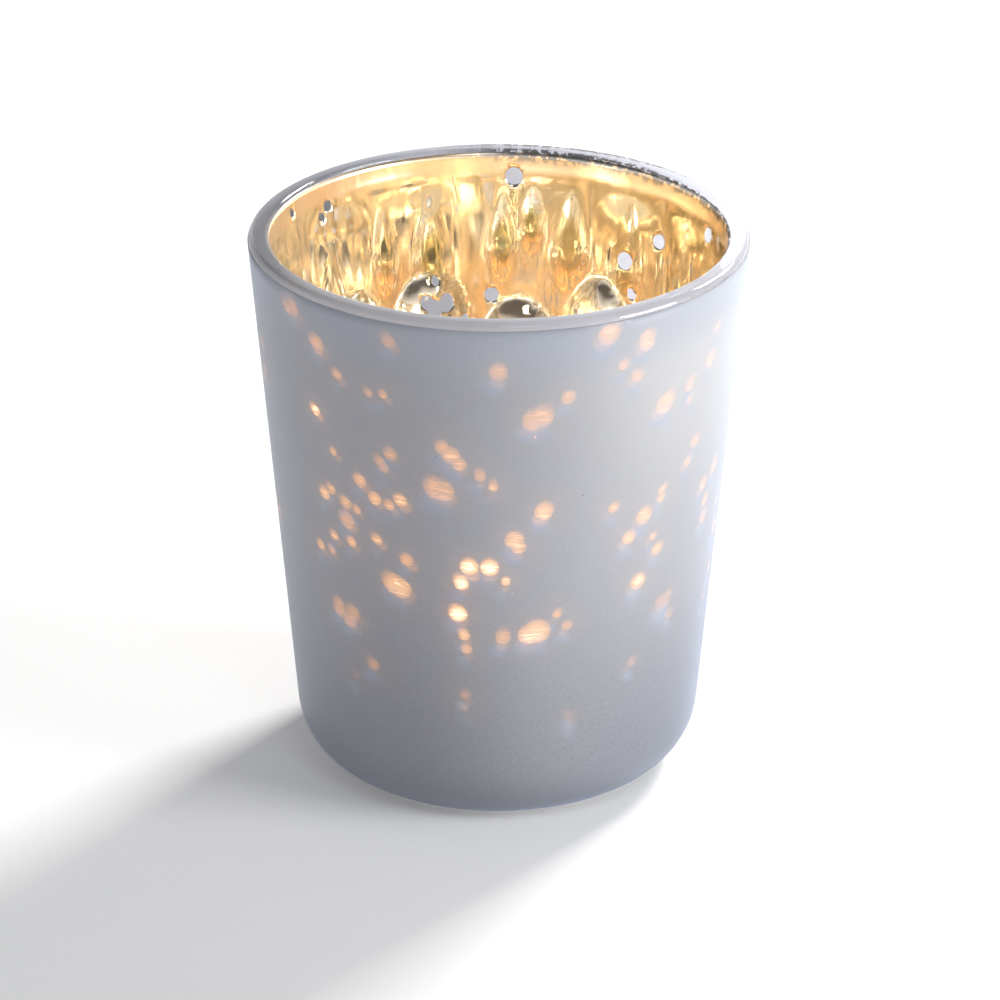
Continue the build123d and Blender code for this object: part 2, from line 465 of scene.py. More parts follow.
COAT_FINE_MM = 0.18
COAT_COARSE = 8  # every eighth point away from the edges of the light spots
EDGE_CHANGE = 0.036  # a change of light from point to point that needs fine points
COAT_THICKNESS = 0.15 * MM
BOND = 0.03 * MM  # how far the coat's back lies inside the glass
RAY_SPREAD = 0.075  # light through a gap lands this share further from the flame's height


def frost_material():
    frost = Nodes("frost")
    height = frost.axis("Z")
    cloud = frost.noise(28, 3)
    grain = frost.noise(2600, 2, 0.7)
    tone = frost.mix(cloud, rgb(0.250, 0.248, 0.262), rgb(0.274, 0.272, 0.284))
    # Painted shade: the coat is darkened towards the bottom.
    low = frost.span(height, 2 * MM, 48 * MM, 0.62, 0.0)
    tone = frost.mix(low, tone, rgb(0.11, 0.11, 0.122))
    # Painted light lightens the upper right of the coat; painted shade darkens the right side low down.
    right = frost.span(frost.axis("X"), 2 * MM, 26 * MM)
    lit_top = frost.maths("MULTIPLY", right, frost.span(height, 36 * MM, 74 * MM, 0.0, 0.72))
    tone = frost.mix(lit_top, tone, rgb(0.42, 0.41, 0.405))
    painted_shade_right_foot = frost.maths("MULTIPLY", right, frost.span(height, 2 * MM, 40 * MM, 0.80, 0.0))
    tone = frost.mix(painted_shade_right_foot, tone, rgb(0.09, 0.10, 0.13))
    tone = frost.mix(frost.maths("MULTIPLY", grain, 0.35), tone, rgb(0.42, 0.42, 0.44))
    under_rim = frost.span(height, HEIGHT - 11 * MM, HEIGHT - 3.5 * MM)
    tone = frost.mix(frost.maths("MULTIPLY", under_rim, 0.5), tone, rgb(0.29, 0.31, 0.36))
    foot = frost.span(height, 3 * MM, 12 * MM, 1, 0)
    tone = frost.mix(frost.maths("MULTIPLY", foot, 0.55), tone, rgb(0.15, 0.155, 0.18))
    # Painted cool skylight: a bluish patch below and left of each light spot.
    painted_skylight = frost.mark("painted_skylight")
    tone = frost.mix(frost.maths("MULTIPLY", painted_skylight, 0.5), tone, rgb(0.30, 0.34, 0.44))
    speck = frost.span(frost.cells(150.0), 0.012, 0.022, 1, 0)
    tone = frost.mix(speck, tone, rgb(0.12, 0.12, 0.13))
    # Painted glow: the base colour is warmed under each light spot.
    tone = frost.mix(frost.maths("MULTIPLY", frost.mark("glow"), 0.5), tone, rgb(0.28, 0.26, 0.20))
    frost.set(Base_Color=tone)
    frost.set(Roughness=frost.span(grain, 0.2, 0.8, 0.36, 0.50, soft=False))
    frost.set(Specular_IOR_Level=0.34, Specular_Tint=rgb(0.74, 0.86, 1.0, 1))
    frost.set(Sheen_Weight=0.22, Sheen_Roughness=0.35, Sheen_Tint=rgb(0.42, 0.62, 1.0, 1))
    frost.bump(grain, 0.12, 0.0001)
    # Painted glow: the candle's light through the lining's gaps is painted on the coat as emission, with
    # painted glints near the spots.
    glow = frost.mark("glow")
    stripes = frost.noise(1.0, 2, 0.6, frost.stretched(150, 150, 1300), 1.3)
    shimmer = frost.span(stripes, 0.52, 0.64, 0.93, 1.36)
    lit = frost.maths("MULTIPLY", glow, shimmer)
    colour = frost.ramp(lit, (0.0, rgb(1.0, 0.30, 0.03)), (0.5, rgb(1.0, 0.40, 0.06)),
                        (0.75, rgb(1.0, 0.55, 0.21)), (1.0, rgb(1.0, 0.78, 0.46)))
    pinpoint = frost.span(frost.cells(620.0), 0.06, 0.13, 1, 0)
    chosen = frost.span(frost.noise(420, 1), 0.60, 0.64)
    nearby = frost.span(glow, 0.012, 0.05)
    sparkle = frost.maths("MULTIPLY", frost.maths("MULTIPLY", pinpoint, chosen), nearby)
    shining = frost.maths("ADD", lit, frost.maths("MULTIPLY", sparkle, 0.8))
    frost.set(Emission_Color=colour)
    frost.set(Emission_Strength=shining)
    return frost.material


def spot_shapes(loops, path):
    """Each gap's light spot on the coat: its middle, and its edge around it in millimetres."""
    draw = random.Random(5)
    spots = []
    for loop in loops:
        middle_angle = loop[0, 0] + wrapped(loop[:, 0] - loop[0, 0]).mean()
        heights = loop[:, 1] + RAY_SPREAD * (loop[:, 1] - LIGHT_CENTRE)
        middle_height = heights.mean()
        radius = np.interp(middle_height, path[:, 1], path[:, 0])
        across = wrapped(loop[:, 0] - middle_angle) * radius
        edge = np.stack([across, heights - middle_height], -1) / MM
        strength = spot_strength(middle_angle, middle_height, draw)
        spots.append({"angle": middle_angle, "height": middle_height, "edge": edge, "strength": strength,
                      "tail": 0.35 + 0.75 * draw.random(), "soft": spot_softness(middle_height, draw),
                      "echo": draw.uniform(0.12, 0.40)})
    return spots


def spot_softness(height, draw):
    """How wide a spot's edge is in millimetres: wider low down, far under the flame."""
    return draw.uniform(0.06, 0.20) + 0.5 * (1 - float(smooth(height, 18 * MM, 31 * MM)))


# Places where the light comes straight through: degrees, height mm, reach mm, added strength
BRIGHT_PLACES = [(-48, 60, 2.5, 0.45), (-7, 40, 6.5, 0.26), (-6, 36, 5, 0.22), (-27, 36.5, 4, 0.16),
                 (-17, 50, 4, 0.18), (4, 57, 4, 0.10)]


def spot_strength(angle, height, draw):
    """How bright a spot is: full beside the flame, dim low down and toward the two sides."""
    level = float(smooth(height, 10 * MM, 36 * MM)) * float(1 - 0.30 * smooth(height, 46 * MM, 66 * MM))
    facing = 1 - 0.55 * math.sin(angle) ** 4
    aside = float(smooth(abs(angle), math.radians(26), math.radians(44)))
    facing *= 1 - 0.5 * aside * (1 - float(smooth(height, 28 * MM, 40 * MM)))
    lucky = draw.random()
    strength = level * facing * (0.40 + 0.26 * lucky)
    for bright_angle, bright_height, reach, extra in BRIGHT_PLACES:
        across = wrapped(angle - math.radians(bright_angle)) * RIM_RADIUS
        if math.hypot(across, height - bright_height * MM) < reach * MM:
            strength += extra
    return min(strength, 1.0)


TAIL_STEPS = 5
TAIL_RISE = 0.9  # how far a spot's soft tail leans up rather than sideways
TAIL_LENGTH_MM = 1.5
HALO_SHARE = 0.13
HALO_REACH_MM = 1.1
PAINTED_SKYLIGHT_SHIFT_MM = (-0.55, -1.9)  # painted cool skylight that falls through each gap from the open top, down and to the left of its spot
ECHO_SHIFT_MM = 1.1  # a faint second image of each gap, from the glass's other face
SPOT_REACH_MM = 2.8
HEART_GAIN = 0.36  # how much brighter the heart of a large spot is
TAIL_FADE = 1.4
ECHO_EDGE_MM = (-0.55, 0.45)  # the depths between which the second image comes up
PAINTED_SKYLIGHT_EDGE_MM = (-0.75, 0.45)
SPOT_GROWTH_MM = 0.14  # the flame's width spreads each spot a little past its gap


def spot_light(spots, angles, heights, path):
    """Painted glow and painted cool skylight on the coat at these angles and heights, from 0 to 1."""
    glow = np.zeros(len(angles))
    painted_skylight = np.zeros(len(angles))
    for spot in spots:
        radius = np.interp(spot["height"], path[:, 1], path[:, 0])
        across = wrapped(angles - spot["angle"]) * radius / MM
        up = (heights - spot["height"]) / MM
        reach = np.abs(spot["edge"]).max(0) + SPOT_REACH_MM
        near = np.flatnonzero((np.abs(across) < reach[0]) & (np.abs(up) < reach[1]))
        if not len(near):
            continue
        at = np.stack([across[near], up[near]], -1)
        lean = np.array([math.sin(2 * spot["angle"]), TAIL_RISE])
        lean /= np.linalg.norm(lean)
        soft = spot["soft"]
        best = np.zeros(len(near))
        for step in range(TAIL_STEPS):
            share = step / TAIL_STEPS
            moved = at - lean * spot["tail"] * TAIL_LENGTH_MM * share
            depth = distance_inside(moved, spot["edge"])
            core = smooth(depth + SPOT_GROWTH_MM, -soft * (0.7 + share), soft * 0.9)
            heart = 0.82 + HEART_GAIN * smooth(depth, 0.0, 0.8)
            best = np.maximum(best, core * heart * (1 - share) ** TAIL_FADE)
        depth = distance_inside(at, spot["edge"])
        halo = HALO_SHARE * np.exp(np.minimum(depth, 0) / HALO_REACH_MM)
        beside = distance_inside(at + lean * ECHO_SHIFT_MM, spot["edge"])
        echo = spot["echo"] * smooth(beside, *ECHO_EDGE_MM)
        glow[near] = np.maximum(glow[near], spot["strength"] * np.maximum(np.maximum(best, halo), echo))
        cold = distance_inside(at - np.array(PAINTED_SKYLIGHT_SHIFT_MM), spot["edge"])
        painted_skylight[near] = np.maximum(painted_skylight[near], smooth(cold, *PAINTED_SKYLIGHT_EDGE_MM))
    return glow, painted_skylight


def spot_edges(glow, columns, rows):
    """Marks the grid points near which the light changes quickly."""
    grid = glow.reshape(columns + 1, rows + 1)
    change = np.abs(np.gradient(grid, axis=0)) + np.abs(np.gradient(grid, axis=1))
    sharp = change > EDGE_CHANGE
    for _ in range(2):
        wider = sharp.copy()
        wider[1:] |= sharp[:-1]
        wider[:-1] |= sharp[1:]
        wider[:, 1:] |= sharp[:, :-1]
        wider[:, :-1] |= sharp[:, 1:]
        sharp = wider
    return sharp.ravel()


def make_coat(loops, seam):
    """The coat: fine points where its painted light changes quickly, coarse ones elsewhere."""
    coat = welded("frosted_coat")
    path = wall_path(coat, 1)
    coat.free()
    lengths = lengths_along(path)
    whole = lengths[-1]
    spots = spot_shapes(loops, path)
    mean_radius = path[:, 0].mean()
    columns = int(TURN * mean_radius / MM / COAT_FINE_MM / COAT_COARSE) * COAT_COARSE
    rows = int(whole / MM / COAT_FINE_MM / COAT_COARSE) * COAT_COARSE
    angle = seam + np.linspace(0, TURN, columns + 1)
    along = np.linspace(0, whole, rows + 1)
    angles, alongs = (a.ravel() for a in np.meshgrid(angle, along, indexing="ij"))
    column, row = (a.ravel() for a in np.meshgrid(range(columns + 1), range(rows + 1), indexing="ij"))
    heights = np.interp(alongs, lengths, path[:, 1])
    glow, painted_skylight = spot_light(spots, angles, heights, path)
    coarse = (column % COAT_COARSE == 0) & (row % COAT_COARSE == 0)
    edge = (column == 0) | (column == columns)
    kept = (coarse | spot_edges(glow, columns, rows)) & ~(edge & ~coarse)
    plane = np.stack([(angles - seam) * mean_radius / MM, alongs / MM], -1)[kept]
    _, faces, sources = triangulate(plane, [])
    turn, height, along = angles[kept][sources], heights[kept][sources], alongs[kept][sources]
    glow, painted_skylight = glow[kept][sources], painted_skylight[kept][sources]
    front = turned(np.interp(along, lengths, path[:, 0]), turn, height)
    first, faces = join_seam(front, faces)
    front, glow, painted_skylight = front[first], glow[first], painted_skylight[first]
    inside = wall_normals(path, front)
    back = front - inside * (COAT_THICKNESS + BOND)
    points, all_faces = skin(front, faces, back)
    piece = new_piece("frosted_coat_visual", points, all_faces, frost_material(),
                      smooth_faces=2 * len(faces))
    sides = np.zeros(len(all_faces), np.int32)
    sides[len(faces):2 * len(faces)] = 1
    face_materials(piece, [coat_back_material()], sides)
    point_values(piece, "glow", glow)
    point_values(piece, "painted_skylight", painted_skylight)
    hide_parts("frosted_coat")


def wall_normals(path, points):
    """Outward unit normals of a turned surface at these points."""
    slope = np.gradient(path, axis=0)
    normal = np.stack([slope[:, 1], -slope[:, 0]], -1)
    normal /= np.linalg.norm(normal, axis=1)[:, None]
    radius = np.linalg.norm(points[:, :2], axis=1)
    out = np.interp(points[:, 2], path[:, 1], normal[:, 0])
    up = np.interp(points[:, 2], path[:, 1], normal[:, 1])
    flat = points[:, :2] / radius[:, None] * out[:, None]
    return np.column_stack([flat, up])


def coat_back_material():
    """The coat's face against the glass, seen through the glass where the lining has a gap."""
    back = Nodes("frost_inside")
    cloud = back.noise(300, 3)
    worn = worn_edge(back)
    tone = back.mix(cloud, rgb(0.24, 0.24, 0.27), rgb(0.30, 0.295, 0.33))
    back.set(Base_Color=back.mix(worn, tone, rgb(0.07, 0.065, 0.06)), Roughness=0.8)
    # Painted daylight: an emission that brightens toward the right stands in for window light shining
    # through the coat.
    daylight = back.span(back.axis("X"), -RIM_RADIUS, RIM_RADIUS, 0.08, 1.15, soft=False)
    daylight = back.maths("MULTIPLY", daylight, back.maths("SUBTRACT", 1.0, worn))
    back.set(Emission_Color=rgb(0.76, 0.76, 0.82, 1.0), Emission_Strength=daylight)
    return back.material


# ---------------------------------------------------------------- the gold lining

LINING_COLUMNS = 380
LINING_ROWS = 96
LINING_THICKNESS = 0.18 * MM  # its back lies a little inside the glass, as a bonded layer does
BAND_FOOT = HEIGHT - 3.6 * MM  # a smooth band runs from here to the rim
DOMES = 14
DOME_TOP_MM = 61
DOME_DEPTH = 2.9 * MM
DOME_FULLNESS = 0.7  # below 1 the sides are steeper and the middle flatter
DOME_LIFTS = {6: 2.2, 7: -0.9}  # millimetres by which the far side's domes stand higher or lower
DOME_HALF_WIDTH = 6.2 * MM
DOME_RISE = 9 * MM
DOME_TURN = math.radians(-6)
TEARS = 20
TEAR_MIDDLE_MM = 63
TEAR_DEPTH = 0.55 * MM
# Upright waves all round: how many, depth in mm, wander with height, and where they start
WAVES = [(13, 0.20, 1.3, 0.4), (29, 0.055, 2.1, 1.9), (47, 0.018, 3.0, 4.1), (83, 0.005, 4.0, 2.2)]
HOLE_REACH_MM = 8  # grid points further than this from a gap's middle are clear of it
HOLE_MARGIN_MM = 0.12
FLOOR_RINGS = (0.75, 0.5, 0.25)
TEAR_TAPER = 0.62  # how much narrower and flatter a drop is at its top than at its foot


def dome_list():
    """The bulging ribs low in the wall: angle and the height of each round top."""
    draw = random.Random(3)
    return [(DOME_TURN + (i + draw.uniform(-0.08, 0.08)) * TURN / DOMES,
             (DOME_TOP_MM + draw.uniform(-3.5, 1.5) + DOME_LIFTS.get(i, 0)) * MM)
            for i in range(DOMES)]


# The far side's own drops: degrees, height, half width and half height in millimetres
FAR_DROPS = [(-161, 66, 3.4, 9.5), (179, 67, 2.4, 7.5), (160, 67, 3.3, 8.5), (-147, 67, 2.2, 8),
             (171, 70, 2.0, 6), (142, 66, 3.0, 9.5)]
FAR_SIDE = math.radians(140)  # only the far side's own drops lie past this angle


def tear_list():
    """Smaller drops above the bulges: angle, height, half width, half height and the darkness of their
    painted reflection.
    """
    draw = random.Random(8)
    drops = [((i + draw.uniform(-0.30, 0.30)) * TURN / TEARS,
              (TEAR_MIDDLE_MM + draw.uniform(-4, 3.0)) * MM,
              draw.uniform(2.6, 4.2) * MM, draw.uniform(8.5, 12.5) * MM, draw.uniform(0.1, 1.0))
             for i in range(TEARS)]
    near = [drop for drop in drops if abs(wrapped(drop[0])) < FAR_SIDE]
    return near + [(math.radians(a), z * MM, w * MM, h * MM, 1.0) for a, z, w, h in FAR_DROPS]


def drop_shade(angle, height, radius):
    """The painted dark reflection in the heart of each drop: 0 outside them, up to 1 inside."""
    shade = np.zeros(len(angle))
    for drop_angle, middle, half_width, half_height, darkness in tear_list():
        across = wrapped(angle - drop_angle) * radius / (0.60 * half_width)
        over = (height - middle + 0.15 * half_height) / (0.50 * half_height)
        heart = smooth(1 - across ** 2 - over ** 2, 0.0, 0.55)
        shade = np.maximum(shade, darkness * heart)
    return shade


def ripple(angle, height, radius):
    """How far the wavy inside of the glass stands in from its plain wall."""
    inward = np.zeros(len(angle))
    fade = smooth(height, 10 * MM, 20 * MM)
    fade = fade * (1 - smooth(height, BAND_FOOT - 6 * MM, BAND_FOOT + 0.5 * MM))
    for dome_angle, top in dome_list():
        across = wrapped(angle - dome_angle) * radius / DOME_HALF_WIDTH
        over = np.maximum(height - (top - DOME_RISE), 0) / DOME_RISE
        inward += DOME_DEPTH * np.maximum(1 - across ** 2 - over ** 2, 0) ** DOME_FULLNESS
    for tear_angle, middle, half_width, half_height, _ in tear_list():
        over = (height - middle) / half_height
        taper = 1 - TEAR_TAPER * smooth(over, -0.4, 1)
        across = wrapped(angle - tear_angle) * radius / (half_width * taper)
        inward += TEAR_DEPTH * taper * smooth(1 - across ** 2 - over ** 2, 0, 0.9)
    sway = 1 + 0.45 * np.sin(3 * angle + 1.1) + 0.35 * np.sin(5 * angle + 2.3)
    for waves, depth, lift, phase in WAVES:
        drift = 0.55 * np.sin(lift * height / (20 * MM) + 3 * angle + phase)
        inward += depth * MM * sway * (1 + np.sin(waves * angle + phase + drift))
    lip = 0.12 * MM * np.exp(-((height - BAND_FOOT) / (0.8 * MM)) ** 2)
    return np.maximum(inward * fade, 0) + lip * (1 + 0.5 * np.sin(9 * angle))


def gold_material():
    gold = Nodes("gold_mirror")
    height = gold.axis("Z")
    streaks = gold.noise(1.0, 4, 0.6, gold.stretched(700, 700, 50))
    cloud = gold.noise(90, 3)
    tone = gold.mix(streaks, rgb(0.87, 0.74, 0.55), rgb(0.97, 0.91, 0.76))
    tone = gold.mix(gold.maths("MULTIPLY", cloud, 0.35), tone, rgb(0.72, 0.62, 0.40))
    across = gold.axis("X")
    # Painted dark reflections: upright olive columns in the mirror's colour.
    columns = gold.noise(1.0, 3, 0.55, gold.stretched(170, 170, 26), 0.6)
    dark = gold.span(columns, 0.50, 0.70, 0.0, 0.42)
    band = gold.span(height, BAND_FOOT - 0.6 * MM, BAND_FOOT + 0.5 * MM)
    dark = gold.maths("MULTIPLY", dark, gold.maths("SUBTRACT", 1.0, band))
    tone = gold.mix(dark, tone, rgb(0.42, 0.37, 0.20))
    # Painted dark reflection in the heart of each drop.
    tone = gold.mix(gold.maths("MULTIPLY", gold.mark("drop"), 0.9), tone, rgb(0.44, 0.39, 0.17))
    # Painted light: the left side of the mirror is paled.
    pale = gold.span(across, -28 * MM, -10 * MM, 0.9, 0.0)
    tone = gold.mix(pale, tone, rgb(1.0, 0.92, 0.74))
    # Painted shade: the mirror is darkened high up on the right.
    high = gold.span(height, 58 * MM, 68 * MM, 0.0, 0.8)
    deep = gold.maths("MULTIPLY", gold.span(across, 0, 20 * MM), high)
    tone = gold.mix(deep, tone, rgb(0.64, 0.50, 0.29))
    # Painted candlelight: the lower mirror is warmed to peach.
    warm = gold.span(height, 54 * MM, 70 * MM, 0.45, 0.0)
    tone = gold.mix(warm, tone, rgb(1.0, 0.84, 0.64))
    # Painted reflection of the candlelit wall: the smooth band under the rim is tinted peach.
    tone = gold.mix(gold.maths("MULTIPLY", band, 0.8), tone, rgb(0.98, 0.73, 0.48))
    gold.set(Base_Color=gold.mix(worn_edge(gold), tone, fleck_tone(gold)))
    gold.set(Metallic=gold.span(band, 0, 1, 0.90, 0.84, soft=False))
    rough = gold.span(streaks, 0.3, 0.75, 0.045, 0.13, soft=False)
    gold.set(Roughness=gold.maths("ADD", rough, gold.maths("MULTIPLY", band, 0.14)))
    gold.bump(streaks, 0.05, 0.0004)
    return gold.material


FLECKS_TURN = 30  # degrees from the right toward the far side


def worn_edge(look):
    """Dark flecks of worn silver along the rim, on the far side toward the right."""
    turn = math.radians(FLECKS_TURN)
    far = look.maths("MULTIPLY", look.axis("Y"), math.sin(turn))
    right = look.maths("MULTIPLY", look.axis("X"), math.cos(turn))
    side = look.span(look.maths("ADD", far, right), 6 * MM, 20 * MM)
    edge = look.span(look.axis("Z"), LINING_HIGH.z - 2.2 * MM, LINING_HIGH.z - 0.6 * MM)
    ragged = look.maths("ADD", look.noise(900, 4, 0.75), look.maths("MULTIPLY", edge, 0.16))
    flecks = look.span(ragged, 0.58, 0.64)
    return look.maths("MULTIPLY", look.maths("MULTIPLY", side, edge), flecks)


def fleck_tone(look):
    """The flecks' colour: dark on the right, mid grey at the far side."""
    far = look.span(look.axis("Y"), 4 * MM, 17 * MM)
    return look.mix(far, rgb(0.11, 0.10, 0.09), rgb(0.40, 0.38, 0.35))


def silver_back_material():
    """The lining's face against the glass, seen through the clear rim."""
    silver = Nodes("silver_back")
    cloud = silver.noise(420, 4, 0.65)
    tone = silver.mix(cloud, rgb(0.66, 0.64, 0.63), rgb(0.76, 0.74, 0.73))
    silver.set(Base_Color=silver.mix(worn_edge(silver), tone, fleck_tone(silver)), Metallic=0.5)
    silver.set(Roughness=silver.span(cloud, 0.3, 0.7, 0.46, 0.6))
    # Painted light: a faint emission lightens the rim's near left.
    near = silver.span(silver.axis("Y"), -30 * MM, 5 * MM, 1.0, 0.0)
    left = silver.span(silver.axis("X"), -30 * MM, 4 * MM, 1.0, 0.0)
    painted_light_near_left = silver.maths("MULTIPLY", silver.maths("MULTIPLY", near, left), 0.16)
    silver.set(Emission_Color=rgb(1.0, 0.94, 0.90, 1.0), Emission_Strength=painted_light_near_left)
    return silver.material


def make_lining(mesh, loops, seam):
    """The mirror: a thin wavy sheet with every gap of the CAD lining, and its floor."""
    path = wall_path(mesh, -1)
    foot_height = path[0, 1]
    lengths = lengths_along(path)
    mean_radius = path[:, 0].mean()
    across = np.linspace(0, TURN * mean_radius / MM, LINING_COLUMNS + 1)
    up = np.linspace(0, lengths[-1] / MM, LINING_ROWS + 1)
    grid = np.stack(np.meshgrid(across, up, indexing="ij"), -1).reshape(-1, 2)
    holes = []
    for loop in loops:
        turn = (loop[:, 0] - seam) % TURN
        along = np.interp(loop[:, 1], path[:, 1], lengths)
        holes.append(np.stack([turn * mean_radius, along], -1) / MM)
    free = np.ones(len(grid), bool)
    for hole in holes:
        near = np.flatnonzero((np.abs(grid - hole.mean(0)) < HOLE_REACH_MM).all(1))
        free[near] &= distance_inside(grid[near], hole) < -HOLE_MARGIN_MM
    places, faces, _ = triangulate(grid[free], holes)
    turn = places[:, 0] * MM / mean_radius + seam
    height = np.interp(places[:, 1] * MM, lengths, path[:, 1])
    radius = np.interp(places[:, 1] * MM, lengths, path[:, 0])
    inward = ripple(turn, height, radius)
    shade = drop_shade(turn, height, radius)
    front = turned(radius - inward, turn, height)
    back = turned(radius - inward + LINING_THICKNESS, turn, height)
    first, faces = join_seam(front, faces)
    front, back, shade = front[first], back[first], shade[first]
    faces = faces[:, ::-1]
    front, back, faces = add_floor(front, back, faces, foot_height)
    points, all_faces = skin(front, faces, back)
    piece = new_piece("gold_lining_visual", points, all_faces, gold_material(),
                      smooth_faces=2 * len(faces))
    sides = np.zeros(len(all_faces), np.int32)
    sides[len(faces):] = 1
    sides[2 * len(faces):] = 2
    face_materials(piece, [silver_back_material(), coat_back_material()], sides)
    point_values(piece, "drop", shade)
    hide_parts("gold_lining")


def add_floor(front, back, faces, height):
    """Closes the lining's foot with rings of points and a middle point."""
    rim = np.flatnonzero(np.abs(front[:, 2] - height) < WELD)
    order = rim[np.argsort(np.arctan2(front[rim, 0], -front[rim, 1]))]
    made, more = [front], [faces]
    last, count = order, len(front)
    for share in FLOOR_RINGS:
        ring = front[order] * np.array([share, share, 1])
        number = np.arange(count, count + len(order))
        made.append(ring)
        more.append(ring_faces(last, number))
        last, count = number, count + len(order)
    made.append(np.array([[0, 0, height]]))
    ahead = np.roll(last, -1)
    more.append(np.stack([last, ahead, np.full(len(last), count)], -1))
    front = np.vstack(made)
    back_floor = np.vstack(made[1:]) - np.array([0, 0, LINING_THICKNESS])
    return front, np.vstack([back, back_floor]), np.vstack(more)


def ring_faces(outer, inner):
    """Triangles between two rings of points."""
    ahead_outer, ahead_inner = np.roll(outer, -1), np.roll(inner, -1)
    return np.vstack([np.stack([outer, ahead_outer, ahead_inner], -1),
                      np.stack([outer, ahead_inner, inner], -1)])


# ---------------------------------------------------------------- glass

def glass_material():
    glass = Nodes("clear_glass")
    glass.set(Transmission_Weight=1.0, IOR=1.5)
    wave = glass.noise(60, 1)
    glass.set(Base_Color=glass.mix(wave, rgb(0.86, 0.88, 0.90), rgb(0.93, 0.94, 0.955)))
    glass.set(Roughness=glass.span(wave, 0.3, 0.8, 0.02, 0.10))
    return glass.material


LEAST_STEP = 2e-6


def rounded_outline(mesh):
    """Half section of the turned glass: bottom, outside, rim and inside, as (radius, height)."""
    outside, inside = wall_path(mesh, 1), wall_path(mesh, -1)
    section = np.vstack([[[0, outside[0, 1]]], outside, inside[::-1], [[0, inside[0, 1]]]])
    steps = np.linalg.norm(np.diff(section, axis=0), axis=1)
    return section[np.concatenate([[True], steps > LEAST_STEP])]


GLASS_SEGMENTS = 360
GLASS_STEP = 1.0 * MM


def refined(section, step):
    """The same section with no piece longer than a step."""
    points = [section[0]]
    for start, end in zip(section[:-1], section[1:]):
        pieces = max(1, int(math.ceil(np.linalg.norm(end - start) / step)))
        points.extend(start + (end - start) * (i + 1) / pieces for i in range(pieces))
    return np.array(points)


def make_glass():
    """The tumbler: turned outside and rim, wavy inside under the lining."""
    mesh = welded("glass_tumbler")
    section = refined(rounded_outline(mesh), GLASS_STEP)
    mesh.free()
    inner = np.arange(len(section)) > section[:, 1].argmax()
    angle, row = (a.ravel() for a in np.meshgrid(
        np.linspace(0, TURN, GLASS_SEGMENTS, endpoint=False), np.arange(len(section)), indexing="ij"))
    radius, height = section[row, 0], section[row, 1]
    inward = ripple(angle, height, radius) * inner[row]
    points = turned(radius - inward, angle, height)
    faces = []
    count = len(section)
    for i in range(GLASS_SEGMENTS):
        j = (i + 1) % GLASS_SEGMENTS
        faces.extend((j * count + k, j * count + k + 1, i * count + k + 1, i * count + k)
                     for k in range(count - 1))
    piece = new_piece("glass_tumbler_visual", points, faces, glass_material())
    tidy_mesh(piece)
    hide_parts("glass_tumbler")


def tidy_mesh(piece):
    """Joins doubled points, drops collapsed faces and turns every face outward."""
    mesh = bmesh.new()
    mesh.from_mesh(piece.data)
    bmesh.ops.remove_doubles(mesh, verts=mesh.verts, dist=WELD)
    bmesh.ops.dissolve_degenerate(mesh, edges=mesh.edges, dist=WELD / 10)
    bmesh.ops.recalc_face_normals(mesh, faces=mesh.faces)
    mesh.to_mesh(piece.data)
    mesh.free()
    piece.data.polygons.foreach_set("use_smooth", [True] * len(piece.data.polygons))


# ---------------------------------------------------------------- tealight

def lathe(name, outline, material, body, segments, swell=None):
    """A closed turned solid from a ring of (radius, height) points; swell adds to the radii by angle."""
    points, faces = [], []
    angles = np.linspace(0, TURN, segments, endpoint=False)
    outline = np.array(outline)
    count = len(outline)
    for angle in angles:
        added = swell(angle) if swell else 0.0
        points.extend(turned(outline[:, 0] + added, angle, outline[:, 1]))
    for i in range(segments):
        j = (i + 1) % segments
        for k in range(count - 1):
            faces.append((i * count + k, i * count + k + 1, j * count + k + 1, j * count + k))
    piece = new_piece(name, points, faces, material, body)
    tidy_mesh(piece)
    return piece


FLAME_STRENGTH = 3.2
FLAME_ROWS = 28
FLAME_SEGMENTS = 32
CANDLE_POWER = 0.050
CANDLE_SIZE = 3.0 * MM


def flame_material():
    flame = Nodes("flame")
    height = flame.axis("Z")
    share = flame.span(height, FLAME_START, FLAME_START + FLAME_HEIGHT, soft=False)
    colour = flame.ramp(share, (0.0, rgb(0.05, 0.12, 0.7)), (0.14, rgb(0.9, 0.30, 0.08)),
                        (0.35, rgb(1.0, 0.56, 0.17)), (0.7, rgb(1.0, 0.62, 0.22)),
                        (1.0, rgb(1.0, 0.38, 0.06)))
    power = flame.ramp(share, (0.0, rgb(0.05, 0.05, 0.05)), (0.2, rgb(0.4, 0.4, 0.4)),
                       (0.45, rgb(1, 1, 1)), (1.0, rgb(0.6, 0.6, 0.6)))
    flame.set(Base_Color=rgb(0, 0, 0, 1.0), Roughness=1.0, Emission_Color=colour)
    flame.set(Emission_Strength=flame.maths("MULTIPLY", power, FLAME_STRENGTH))
    flame.set(Specular_IOR_Level=0)
    return flame.material


def make_flame():
    """The flame, a narrow drop that widens low down, and its light."""
    steps = np.linspace(0, 1, FLAME_ROWS)
    width = np.sin(math.pi * steps ** 0.62) ** 0.85 * (1 - 0.25 * steps)
    outline = [(FLAME_RADIUS * w, FLAME_START + FLAME_HEIGHT * s) for w, s in zip(width, steps)]
    outline[0] = (0, outline[0][1])
    outline[-1] = (0, outline[-1][1])
    flame = lathe("flame", outline, flame_material(), "tealight", FLAME_SEGMENTS)
    flame.visible_shadow = False
    data = bpy.data.lights.new("candle", "POINT")
    data.energy = CANDLE_POWER
    data.color = (1.0, 0.73, 0.48)
    data.shadow_soft_size = CANDLE_SIZE
    light = bpy.data.objects.new("candle", data)
    bpy.context.scene.collection.objects.link(light)
    light.location = (0, 0, LIGHT_CENTRE)
    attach(light, "tealight")


